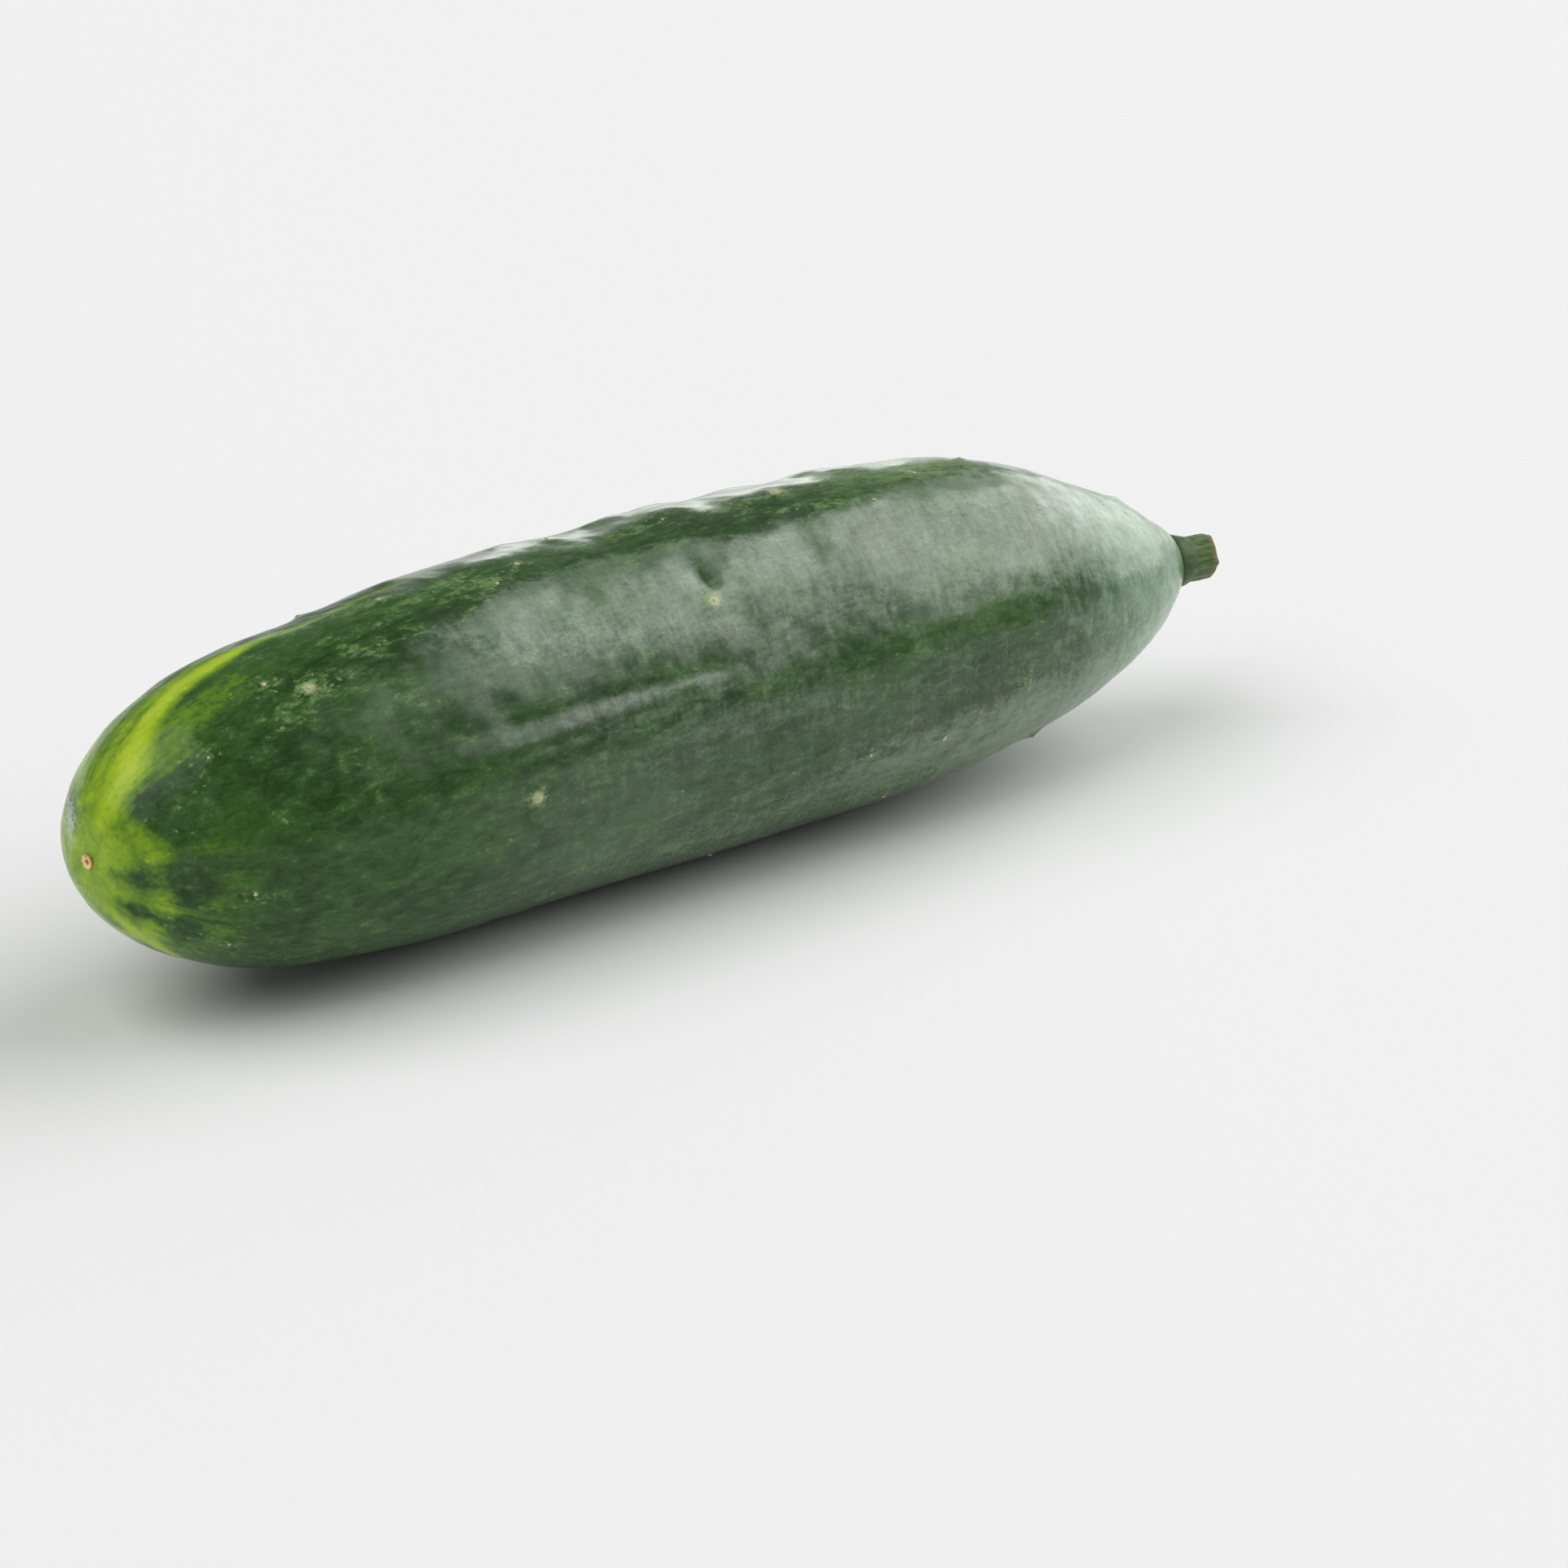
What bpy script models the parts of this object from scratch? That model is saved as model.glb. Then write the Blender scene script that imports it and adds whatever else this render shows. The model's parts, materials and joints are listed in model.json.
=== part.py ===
"""A slicing cucumber, whole and just picked, lying on a table. It grew in one piece, so it is one solid.

Metres, +Z up. The origin is on the table, under the middle of the fruit's box. The fruit lies along X, with
its blossom end at -X and its stem end at +X, and bows gently towards +Y.

A station runs from 0 at the blossom end to 1 at the stem end. An angle runs round the fruit: 0 is the outer
side of the bow, 90 degrees is the top and -90 degrees is the belly that it lies on.
"""

import math

import bmesh
import bpy
from mathutils import Vector

# Driving dimensions
LENGTH = 0.2105  # along the middle of the fruit, without the stem stub
THICKEST_RADIUS = 0.0280
BOW = math.radians(18.5)  # how far the fruit turns from end to end
BELLY_FLAT = 0.0005  # how much the fruit's weight flattens its belly

# Ends: how far each one reaches along the fruit, as a share of LENGTH, and how full its curve is.
# A power of 2 with a root of 0.5 would be an ellipse.
BLOSSOM_END = {"reach": 0.280, "power": 2.28, "root": 0.44}
STEM_END = {"reach": 0.350, "power": 1.98, "root": 0.55}
BLOSSOM_LIFT = 0.0020  # the blossom end turns up a little
LIFT_REACH = 0.30  # as a share of LENGTH

# Girth: the gentle swells and hollows between the ends, as shares of the radius
WAIST = 0.045  # thinning from the middle to both ends
SWELL = {"station": 0.52, "spread": 0.10, "amount": 0.017}
NECK = {"station": 0.20, "spread": 0.08, "amount": -0.023}

# Cross-section: three broad lobes, one for each seed chamber, and fine ribs between them
LOBES, LOBE_DEPTH = 3, 0.012
RIBS, RIB_DEPTH = 11, 0.003

# Hollows and furrows that this fruit grew with. The spreads are in stations and in degrees.
HOLLOWS = (
    {"station": 0.47, "along": 0.035, "angle": 80, "around": 26, "depth": 0.0009},
    {"station": 0.57, "along": 0.018, "angle": 76, "around": 18, "depth": 0.0004},
    {"station": 0.65, "along": 0.022, "angle": 80, "around": 20, "depth": 0.0005},
    {"station": 0.39, "along": 0.120, "angle": 150, "around": 7, "depth": 0.0006},
    {"station": 0.52, "along": 0.050, "angle": 138, "around": 12, "depth": 0.0004},
    {"station": 0.68, "along": 0.060, "angle": 35, "around": 16, "depth": 0.0006},
    {"station": 0.30, "along": 0.070, "angle": 20, "around": 14, "depth": 0.0005},
    {"station": 0.60, "along": 0.110, "angle": 212, "around": 10, "depth": 0.0005},
)

# Blossom scar: a corky button in a shallow dimple
DIMPLE_RADIUS, DIMPLE_DEPTH = 0.0065, 0.0006
SCAR_RADIUS, SCAR_HEIGHT = 0.0012, 0.0003

# Stem stub: what is left of the stalk after cutting
STUB_BASE_RADIUS, STUB_RADIUS, STUB_LENGTH = 0.0050, 0.0034, 0.0050
STUB_CORNERS, STUB_CORNER_DEPTH = 5, 0.07
CUT_RECESS = 0.0004  # how far the middle of the cut face has dried back

# Mesh
SEGMENTS, RINGS = 60, 84
CROWDED = 0.15  # the share of the rings, at each tip, that draw closer and closer together

BOW_RADIUS = LENGTH / BOW
AXIS_HEIGHT = THICKEST_RADIUS * (1 - LOBE_DEPTH) - BELLY_FLAT
SKIN_COLOUR = (0.042, 0.078, 0.026, 1.0)
SKIN_ROUGHNESS = 0.35


def clear_scene():
    for obj in list(bpy.data.objects):
        bpy.data.objects.remove(obj)


def hump(station, feature):
    """A smooth rise or hollow that is centred on one station."""
    away = (station - feature["station"]) / feature["spread"]
    return feature["amount"] * math.exp(-away * away)


def end_rounding(distance, end):
    """0 at the tip of an end and 1 from the end's reach on. The distance is a share of LENGTH."""
    left = 1 - min(distance / end["reach"], 1.0)
    return (1 - left ** end["power"]) ** end["root"]


def mean_radius(station):
    """The fruit's radius at a station, before its lobes and ribs."""
    ends = end_rounding(station, BLOSSOM_END) * end_rounding(1 - station, STEM_END)
    thinning = WAIST * (2 * station - 1) ** 2
    body = (1 - thinning) * (1 + hump(station, SWELL) + hump(station, NECK))
    return THICKEST_RADIUS * ends * body / (1 + SWELL["amount"])


def lobing(angle):
    """How the cross-section departs from a circle. A lobe is on top, and the belly lies between two."""
    return 1 - LOBE_DEPTH * math.sin(LOBES * angle) + RIB_DEPTH * math.cos(RIBS * angle)


def hollowing(station, angle):
    """How deep the hollows and furrows are at a station and an angle."""
    depth = 0.0
    for hollow in HOLLOWS:
        turn = (math.degrees(angle) - hollow["angle"] + 180) % 360 - 180
        away = (turn / hollow["around"]) ** 2 + ((station - hollow["station"]) / hollow["along"]) ** 2
        depth += hollow["depth"] * math.exp(-away)
    return depth


def middle(station):
    """The point on the fruit's middle line, the direction along it, and the direction out of the bow."""
    turn = BOW * (station - 0.5)
    lift = BLOSSOM_LIFT * max(1 - station / LIFT_REACH, 0.0) ** 2
    point = Vector((BOW_RADIUS * math.sin(turn), BOW_RADIUS * (math.cos(turn) - 1), AXIS_HEIGHT + lift))
    along = Vector((math.cos(turn), -math.sin(turn), 0))
    outward = Vector((math.sin(turn), math.cos(turn), 0))
    return point, along, outward


def skin_point(station, angle):
    """The point of the skin at a station and an angle."""
    point, along, outward = middle(station)
    radius = mean_radius(station) * lobing(angle) - hollowing(station, angle)
    spoke = outward * math.cos(angle) + Vector((0, 0, 1)) * math.sin(angle)
    dimple = 0.0
    if station < 0.5 and radius < DIMPLE_RADIUS:
        dimple = DIMPLE_DEPTH * (1 - (radius / DIMPLE_RADIUS) ** 2) ** 2
    return point + spoke * radius + along * dimple


def ring_station(share):
    """The station of a ring, from its share of the way through the rings. Most of them are evenly spaced."""
    inwards = min(share, 1 - share)
    if inwards < CROWDED:
        station = inwards**2 / (2 * CROWDED)
    else:
        station = inwards - CROWDED / 2
    station /= 1 - CROWDED
    return station if share < 0.5 else 1 - station


def shape_fruit(bm):
    """Stretches a globe into the fruit: its poles become the two ends and its rings the cross-sections."""
    bmesh.ops.create_uvsphere(bm, u_segments=SEGMENTS, v_segments=RINGS, radius=1.0)
    for vert in bm.verts:
        share = math.acos(max(-1.0, min(-vert.co.z, 1.0))) / math.pi
        angle = math.atan2(vert.co.y, vert.co.x)
        vert.co = skin_point(ring_station(share), angle)


def draw_out(bm, cap, tip, along, steps):
    """Extrudes a cap of faces in steps, each a distance along and the radius of the cap there."""
    for distance, radius in steps:
        made = bmesh.ops.extrude_face_region(bm, geom=cap)["geom"]
        bmesh.ops.delete(bm, geom=cap, context="FACES")
        cap = [item for item in made if isinstance(item, bmesh.types.BMFace)]
        offsets = {vert: vert.co - tip for face in cap for vert in face.verts}
        flat = {vert: offset - along * offset.dot(along) for vert, offset in offsets.items()}
        widest = max(offset.length for offset in flat.values())
        for vert, offset in flat.items():
            vert.co = tip + along * distance + offset * (radius / widest)
    return cap


def faces_near(bm, tip, radius):
    return [face for face in bm.faces if all((vert.co - tip).length < radius for vert in face.verts)]


def add_blossom_scar(bm):
    """Raises the corky button in the dimple at the tip of the blossom end."""
    _, along, _ = middle(0)
    tip = skin_point(0, 0)
    steps = [
        (0.0, SCAR_RADIUS * 1.2),
        (SCAR_HEIGHT * 0.8, SCAR_RADIUS),
        (SCAR_HEIGHT, SCAR_RADIUS * 0.6),
    ]
    draw_out(bm, faces_near(bm, tip, DIMPLE_RADIUS * 0.5), tip, -along, steps)


def add_stem_stub(bm):
    """Draws the tip of the stem end out into a short cornered stub with a dried cut face."""
    _, along, _ = middle(1)
    tip = skin_point(1, 0)
    steps = [
        (STUB_LENGTH * 0.12, STUB_BASE_RADIUS * 0.80),
        (STUB_LENGTH * 0.40, STUB_RADIUS),
        (STUB_LENGTH * 0.93, STUB_RADIUS),
        (STUB_LENGTH, STUB_RADIUS * 0.92),
        (STUB_LENGTH, STUB_RADIUS * 0.60),
        (STUB_LENGTH - CUT_RECESS, STUB_RADIUS * 0.30),
    ]
    draw_out(bm, faces_near(bm, tip, STUB_BASE_RADIUS), tip, along, steps)
    side = along.cross(Vector((0, 0, 1)))
    for vert in bm.verts:
        offset = vert.co - tip
        beyond = offset.dot(along)
        if beyond > 0:
            offset -= along * beyond
            corner = math.cos(STUB_CORNERS * math.atan2(offset.z, offset.dot(side)))
            vert.co += offset * STUB_CORNER_DEPTH * corner


def press_belly_flat(bm):
    """The fruit's own weight flattens the skin that touches the table."""
    for vert in bm.verts:
        vert.co.z = max(vert.co.z, 0.0)


def centre_on_origin(bm):
    """Puts the middle of the fruit's box over the origin."""
    for axis in (0, 1):
        places = [vert.co[axis] for vert in bm.verts]
        shift = -(min(places) + max(places)) / 2
        for vert in bm.verts:
            vert.co[axis] += shift


def skin_material():
    material = bpy.data.materials.new("cucumber_skin")
    material.use_nodes = True
    shader = material.node_tree.nodes["Principled BSDF"]
    shader.inputs["Base Color"].default_value = SKIN_COLOUR
    shader.inputs["Roughness"].default_value = SKIN_ROUGHNESS
    shader.inputs["Metallic"].default_value = 0.0
    return material


def build_cucumber():
    bm = bmesh.new()
    shape_fruit(bm)
    add_blossom_scar(bm)
    add_stem_stub(bm)
    press_belly_flat(bm)
    centre_on_origin(bm)
    mesh = bpy.data.meshes.new("cucumber")
    bm.to_mesh(mesh)
    bm.free()
    mesh.shade_smooth()
    mesh.materials.append(skin_material())
    fruit = bpy.data.objects.new("cucumber", mesh)
    bpy.context.scene.collection.objects.link(fruit)


clear_scene()
build_cucumber()
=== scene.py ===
"""A whole slicing cucumber, just picked: waxy dark green skin with yellow-green streaks at its blossom end,
low warts with dry spine tips, a corky blossom scar and a short cut stem.

Metres, +Z up. A station runs from 0 at the blossom end to 1 at the stem end. An angle runs round the fruit,
in degrees: 0 is the outer side of the bow, 90 is the top and 180 the inner side. What is on the skin is
placed by station and angle, and sized in millimetres.
"""

import json
import math
import random

import bpy
import numpy as np
from mathutils import Matrix, Vector
from mathutils.bvhtree import BVHTree

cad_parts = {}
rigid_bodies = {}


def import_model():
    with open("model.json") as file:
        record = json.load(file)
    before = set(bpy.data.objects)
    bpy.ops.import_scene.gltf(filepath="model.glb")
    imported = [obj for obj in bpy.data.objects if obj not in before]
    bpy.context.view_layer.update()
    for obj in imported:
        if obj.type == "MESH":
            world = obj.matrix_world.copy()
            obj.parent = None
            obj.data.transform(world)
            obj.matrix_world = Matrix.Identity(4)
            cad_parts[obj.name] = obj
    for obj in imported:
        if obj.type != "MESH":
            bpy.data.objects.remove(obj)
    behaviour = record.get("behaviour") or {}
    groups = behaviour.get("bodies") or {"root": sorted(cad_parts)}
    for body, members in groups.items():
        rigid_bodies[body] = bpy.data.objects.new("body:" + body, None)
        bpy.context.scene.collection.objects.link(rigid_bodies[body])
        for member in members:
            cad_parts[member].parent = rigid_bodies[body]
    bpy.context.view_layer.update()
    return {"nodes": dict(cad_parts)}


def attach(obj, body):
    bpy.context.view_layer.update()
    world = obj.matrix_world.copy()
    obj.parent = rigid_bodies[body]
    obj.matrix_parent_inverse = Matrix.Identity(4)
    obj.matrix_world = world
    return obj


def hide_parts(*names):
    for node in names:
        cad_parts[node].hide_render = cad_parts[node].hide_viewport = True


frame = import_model()

MM = 1000  # millimetres in a metre
LEAST_WEIGHT = 0.004  # a point with less is left out of a vertex group

# The fruit's middle line, as the CAD model bends it
LENGTH = 0.2105
BOW_RADIUS = LENGTH / math.radians(18.5)
MIDDLE = Vector((-0.0026, 0.0003, 0.0272))
BLOSSOM_LIFT, LIFT_REACH = 0.0020, 0.30

# Points of the CAD surface closer than a gap are welded, and triangles are joined to quads where they turn by
# less than an angle
WELD_GAP, QUAD_TURN = 0.000002, math.radians(60)
SKIN_LEVELS = 2

# The relief sets in softly above the strip that the fruit rests on, and fades out at the stem
REST_HEIGHT, REST_FADE = 0.0035, 0.004
STEM_FADE = 6  # mm

# Warts, with half lengths and half widths in mm
WART_COUNT, WART_SEED = 50, 3
WART_HEIGHT, WART_SIZE = 0.00045, (1.5, 1.4)
PLAIN_HEIGHT = 0.5  # of the others' height
WART_STATIONS, WART_ANGLES = (0.06, 0.95), (-55, 235)
WART_GAP = 11  # mm, at least, from one to the next
WART_TRIES = 4000
PLAIN_SIDE = 84, 186  # the angles between which only the plain warts stand
ROUGH_LENGTH, MM_PER_DEGREE = 210, 0.45  # of the skin, roughly
HALO_SIZE = 3.2, 2.2  # the pale flecks round each wart
WIDE_HALO = 0.172, 114, 5.0, 2.6  # more of them beside a wart near the tip: station, angle, sizes
STAR_SIZE, FAINT_STAR = (2.5, 2.1), 0.5

# Plain warts, which can be told apart: station, angle
PLAIN_WARTS = (
    (0.509, 131), (0.521, 92), (0.437, 79), (0.624, 92), (0.163, 115), (0.308, 176), (0.137, 106),
    (0.355, 101), (0.385, 94), (0.690, 108), (0.070, 123), (0.745, 96), (0.835, 118), (0.270, 88),
)
# Those of them with a full pale star. The others' stars are faint.
STARRED_WARTS = ((0.509, 131), (0.163, 115), (0.308, 176), (0.624, 92), (0.437, 79))
# Yellow-green streaks at the blossom end, each a row of places: station, angle, half width in mm, how yellow
STREAKS = (
    (
        (0.006, 104, 3.2, 0.74), (0.018, 100, 3.8, 0.84), (0.032, 95, 3.6, 1.00), (0.048, 90, 2.7, 1.00),
        (0.064, 86, 2.2, 0.92), (0.085, 82, 2.0, 0.92), (0.110, 79, 2.4, 0.95), (0.140, 79, 2.1, 0.90),
        (0.180, 80, 1.3, 0.66), (0.220, 81, 1.1, 0.52), (0.270, 80, 0.9, 0.40), (0.330, 79, 0.7, 0.20),
    ),
    (
        (0.010, 84, 2.6, 0.58), (0.035, 76, 2.4, 0.60), (0.070, 73, 2.0, 0.56), (0.120, 72, 1.5, 0.52),
        (0.170, 71, 0.9, 0.30),
    ),
    ((0.008, 62, 3.0, 0.52), (0.040, 62, 2.6, 0.50), (0.085, 64, 1.8, 0.48), (0.130, 64, 1.0, 0.25)),
    (
        (0.008, 40, 3.0, 0.60), (0.035, 44, 2.8, 0.80), (0.070, 48, 1.8, 0.78), (0.120, 51, 1.2, 0.60),
        (0.190, 52, 0.8, 0.25),
    ),
    (
        (0.010, 112, 3.4, 0.50), (0.035, 110, 3.2, 0.42), (0.075, 103, 3.6, 0.36), (0.120, 98, 3.6, 0.30),
        (0.165, 96, 2.4, 0.10),
    ),
    ((0.003, 150, 2.2, 0.54), (0.009, 151, 2.2, 0.52), (0.014, 156, 1.6, 0.46), (0.019, 164, 1.0, 0.26)),
    (
        (0.004, 206, 1.0, 0.50), (0.010, 200, 0.9, 0.46), (0.019, 199, 0.7, 0.42),
        (0.031, 199, 0.5, 0.40), (0.044, 199, 0.4, 0.20),
    ),
    (
        (0.003, 276, 2.2, 0.60), (0.008, 250, 2.2, 0.72), (0.018, 246, 2.1, 0.84),
        (0.032, 248, 1.8, 0.86), (0.050, 253, 1.3, 0.70), (0.085, 258, 0.8, 0.36),
    ),
    (
        (0.008, 284, 3.0, 0.60), (0.030, 288, 2.5, 0.80), (0.070, 291, 1.7, 0.76),
        (0.130, 290, 1.1, 0.50), (0.200, 289, 0.7, 0.20),
    ),
    (
        (0.008, 318, 3.4, 0.60), (0.030, 324, 2.8, 0.90), (0.070, 327, 2.0, 0.86),
        (0.130, 326, 1.4, 0.60), (0.240, 325, 0.8, 0.22),
    ),
    ((0.008, 0, 3.4, 0.60), (0.030, 356, 2.6, 0.76), (0.065, 352, 1.6, 0.70), (0.110, 350, 1.0, 0.34)),
    (
        (0.008, 22, 2.6, 0.56), (0.030, 18, 2.2, 0.70), (0.060, 16, 1.5, 0.66), (0.150, 17, 1.0, 0.42),
        (0.230, 18, 0.7, 0.15),
    ),
)
STREAK_REACH = 0.42  # no streak goes past this station
STREAK_STEPS = 24  # from each place to the next
STREAK_FALL = 0.7  # how steeply a streak fades off sideways
# All the skin at the blossom tip is yellow-green, and it stays lighter for some way: reach in mm, how yellow
TIP_YELLOW = 3.6, 0.60
LIGHT_GREEN = 17.0, 0.34
# Dark green lobes that reach in between the streaks: station, angle, half width in mm, how green
GREEN_LOBES = (
    ((0.016, 127, 1.0, 0.30), (0.024, 131, 2.4, 0.60), (0.038, 138, 3.8, 0.60)),
    ((0.003, 184, 0.7, 0.20), (0.008, 182, 1.3, 0.36), (0.016, 181, 2.2, 0.42), (0.032, 180, 3.4, 0.42)),
    ((0.006, 224, 0.6, 0.30), (0.011, 218, 0.9, 0.40), (0.021, 214, 1.3, 0.46), (0.036, 218, 2.0, 0.46)),
    ((0.006, 44, 1.0, 0.40), (0.012, 40, 1.7, 0.56), (0.021, 36, 1.7, 0.40)),
)
# A painted glint beside the blossom scar, a silvery reflection put in the colour: station, angle, half width
# in mm, how pale
PAINTED_GLINT_PLACES = (
    (
        (0.0180, 34, 1.2, 0.6), (0.0125, 36, 1.8, 0.9), (0.0075, 37, 1.9, 1.0), (0.0042, 30, 1.4, 0.8),
        (0.0038, 5, 0.8, 0.5),
    ),
)
# Bands where the wax lies thickest. The front one is also painted sheen: its upper edge follows the edge of
# the lit zone, and its pale colour paints in part of the reflection there. Each has how thick, in how many
# degrees it ends at its lowest and at its highest angle, and a row of places: station, lowest and highest
# angle
WAX_AND_SHEEN_BANDS = (
    (
        1.0, 9, 26,
        (
            (0.14, 114, 126), (0.24, 112, 118), (0.30, 111, 120), (0.36, 105, 132), (0.46, 102, 141),
            (0.52, 105, 141), (0.58, 114, 143), (0.66, 107, 146), (0.75, 101, 150), (0.85, 99, 154),
            (0.95, 94, 160),
        ),
    ),
    (
        0.95, 24, 11,
        (
            (0.34, 44, 62), (0.44, 34, 86), (0.58, 28, 84), (0.68, 26, 78), (0.78, 20, 84),
            (0.86, 16, 92), (0.95, 6, 96),
        ),
    ),
    (0.5, 26, 26, ((0.34, 198, 216), (0.55, 194, 222), (0.80, 188, 228), (0.95, 180, 236))),
    (0.5, 26, 26, ((0.34, 308, 328), (0.55, 302, 336), (0.80, 298, 342), (0.95, 290, 352))),
    (0.30, 14, 24, ((0.20, 142, 180), (0.60, 148, 186), (0.95, 152, 190))),
)
WAX_START = 0.16  # the share of the length over which a band sets in
# Places where the wax, and the painted sheen with it, is taken off: station, angle, half length and half width
# in mm, share of the wax gone. The first, in the dimple, is painted shade there.
BARE_AND_SHADED_SPOTS = ((0.511, 122, 1.7, 2.2, 0.85), (0.506, 129, 1.5, 1.3, 0.80), (0.163, 115, 2.5, 2.0, 0.60))
# Lumps, and swells of the outline: station, angle, half length, half width and height in mm
LUMPS = (
    (0.532, 84, 4.5, 3.0, 0.55), (0.640, 85, 4.5, 3.0, 0.50), (0.580, 76, 5.0, 3.0, 0.40),
    (0.700, 80, 5.5, 3.0, 0.45), (0.440, 80, 4.0, 2.6, 0.40), (0.365, 84, 5.0, 3.0, 0.30),
    (0.645, 128, 5.0, 5.0, 0.25), (0.560, 112, 6.0, 5.0, 0.22), (0.235, 68, 6.0, 2.6, 0.55),
    (0.500, 72, 5.0, 2.2, 0.60), (0.548, 71, 4.0, 2.0, 0.60), (0.615, 70, 5.0, 2.2, 0.60),
    (0.675, 73, 5.0, 2.2, 0.55), (0.785, 73, 10.0, 8.0, 0.50), (0.300, 72, 5.0, 2.4, 0.25),
    (0.410, 70, 4.5, 2.2, 0.30), (0.760, 116, 6.0, 5.0, 0.22), (0.430, 118, 7.0, 4.5, 0.22),
    (0.330, 122, 6.0, 5.0, 0.20),
)
# Dents, creases and flats, in the same way, with their depth
DENTS = (
    (0.511, 122, 1.8, 2.5, 0.70), (0.262, 150, 10.0, 2.0, 0.22), (0.325, 152.5, 9.0, 1.3, 0.22),
    (0.405, 152.5, 11.0, 1.2, 0.32), (0.485, 153.5, 9.0, 0.9, 0.26), (0.350, 161, 14.0, 1.0, 0.16),
    (0.440, 159, 10.0, 1.2, 0.12), (0.610, 120, 3.0, 5.0, 0.22), (0.470, 104, 4.0, 3.0, 0.15),
    (0.503, 117, 2.4, 2.4, 0.22), (0.525, 139, 4.0, 4.5, 0.12), (0.232, 62, 9.0, 9.0, 1.20),
    (0.605, 65, 23.0, 9.0, 0.95), (0.940, 80, 13.0, 13.0, 1.50),
)
# The fine relief: name, size and height in metres, all made of clouds with some finer detail
CLOUD_DETAIL = 2
RELIEF = (("swells", 0.016, 0.00070), ("ripples", 0.005, 0.00022), ("pores", 0.0016, 0.00009))

# A spine tip: its foot, and how far each part of it rises and leans over and how much it narrows
SPINE_SIDES, SPINE_RADIUS, SPINE_FOOT = 8, 0.00044, 0.0002
SPINE_STEPS = (((0.00004, 0, 0.00010), 0.62), ((0.00006, 0, 0.00005), 0.45))
SPINE_SEED, SPINE_SCALE = 7, (0.60, 1.05)
BARE_WART_SHARE = 0.35  # of the other warts, that have lost their spine tip

# The blossom scar: its top is inset by a thickness and moved, step by step. It lies where a ray from a station
# of the middle line, aimed past the tip and a little outward and up, leaves the skin.
SCAR_SIDES, SCAR_LEVELS, SCAR_RADIUS, SCAR_DEPTH = 24, 2, 0.0013, 0.0006
SCAR_STEPS = ((0.00030, (0, 0, 0.00014)), (0.00030, (0, 0, -0.00012)), (0.00025, (0.00005, 0, -0.00022)))
SCAR_START, SCAR_OUTWARD, SCAR_UP = 0.06, 0.03, 0.06
SCAR_GAP = 0.00002
CORK_SIZE, CORK_HEIGHT = 0.0006, 0.00030

# The stump of the stalk, on its own axis from the end of the fruit
STUMP_SIDES, STUMP_CUTS, STUMP_LEVELS = 40, 3, 1
STUMP_RADIUS, STUMP_LENGTH, STUMP_MIDDLE = 0.00358, 0.0035, 0.00365
STALK_SIZE, STALK_HEIGHT = 0.0014, 0.00028
# Its flare below that, from the top: how far each part goes down and how much it widens
FLARE_TOP = 0.0021
FLARE_STEPS = ((0.0007, 1.04), (0.0007, 1.08), (0.0010, 1.08), (0.0010, 1.05), (0.0012, 1.00))
# Its cut face, inset by a thickness and moved, step by step
CUT_STEPS = (
    (0.00016, (0, 0, 0.00006)),
    (0.00040, (0, 0, -0.00020)),
    (0.00060, (0, 0, 0)),
    (0.00130, (0, 0, -0.00012)),
)
# Its corners stand out by a share of its radius, from a height on
CORNERS, CORNER_SHARE, CORNER_RADIUS = 5, 0.12, 0.0034
CORNER_START, CORNER_FADE = -0.0015, 0.0030
# Where its cut face starts, and how softly, in mm
CUT_HEIGHT, CUT_HEIGHT_FADE = 4.80, 0.2
CUT_RADIUS, CUT_RADIUS_FADE = 3.75, 0.3
PITH_RADIUS = 3.7

# Colours, as red, green and blue in linear light
DEEP_GREEN, MIDDLE_GREEN = (0.016, 0.050, 0.010), (0.062, 0.150, 0.038)
PALE_MOTTLE, DARK_SPECK = (0.18, 0.30, 0.095), (0.012, 0.034, 0.008)
RIDGE_GREEN = (0.20, 0.34, 0.13)
FLECK_GREEN = (0.26, 0.38, 0.14)
RIPENESS = (
    (0.00, (0.026, 0.078, 0.014)),
    (0.22, (0.066, 0.165, 0.022)),
    (0.45, (0.160, 0.315, 0.026)),
    (0.72, (0.350, 0.530, 0.025)),
    (1.00, (0.540, 0.710, 0.042)),
)
# The thick wax is bloom and painted sheen; the stem end's is pale bloom and a painted highlight.
THIN_WAX, THICK_WAX_AND_SHEEN, STEM_END_WAX_AND_HIGHLIGHT = (0.24, 0.34, 0.23), (0.35, 0.46, 0.33), (0.37, 0.62, 0.39)
# The first is a painted glint: a silvery reflection put in the colour beside the blossom scar.
PAINTED_GLINT_GREY, STAR_RAYS, CREAM_DOT = (0.56, 0.66, 0.50), (0.28, 0.38, 0.17), (0.52, 0.56, 0.28)
SPINE_CREAM, SPINE_TAN = (0.62, 0.60, 0.34), (0.48, 0.43, 0.20)
SCAR_RINGS = (
    (0.00, (0.34, 0.07, 0.015)),
    (0.32, (0.66, 0.25, 0.06)),
    (0.48, (0.98, 0.80, 0.40)),
    (0.80, (0.90, 0.72, 0.32)),
    (1.00, (0.40, 0.22, 0.05)),
)
SCAR_SPECK = (0.05, 0.02, 0.01)
STALK_DARK, STALK_PALE = (0.050, 0.100, 0.026), (0.15, 0.22, 0.070)
STALK_FOOT, STALK_RIM = (0.034, 0.088, 0.022), (0.30, 0.22, 0.10)
PITH_RINGS = (
    (0.00, (0.19, 0.17, 0.08)),
    (0.30, (0.32, 0.33, 0.16)),
    (0.55, (0.27, 0.31, 0.13)),
    (0.78, (0.15, 0.17, 0.06)),
    (1.00, (0.24, 0.17, 0.07)),
)
PITH_BUNDLE = (0.09, 0.06, 0.02)
FLOOR_GREY, WORLD_GREY = (0.96,) * 3, (0.15,) * 3

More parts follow.
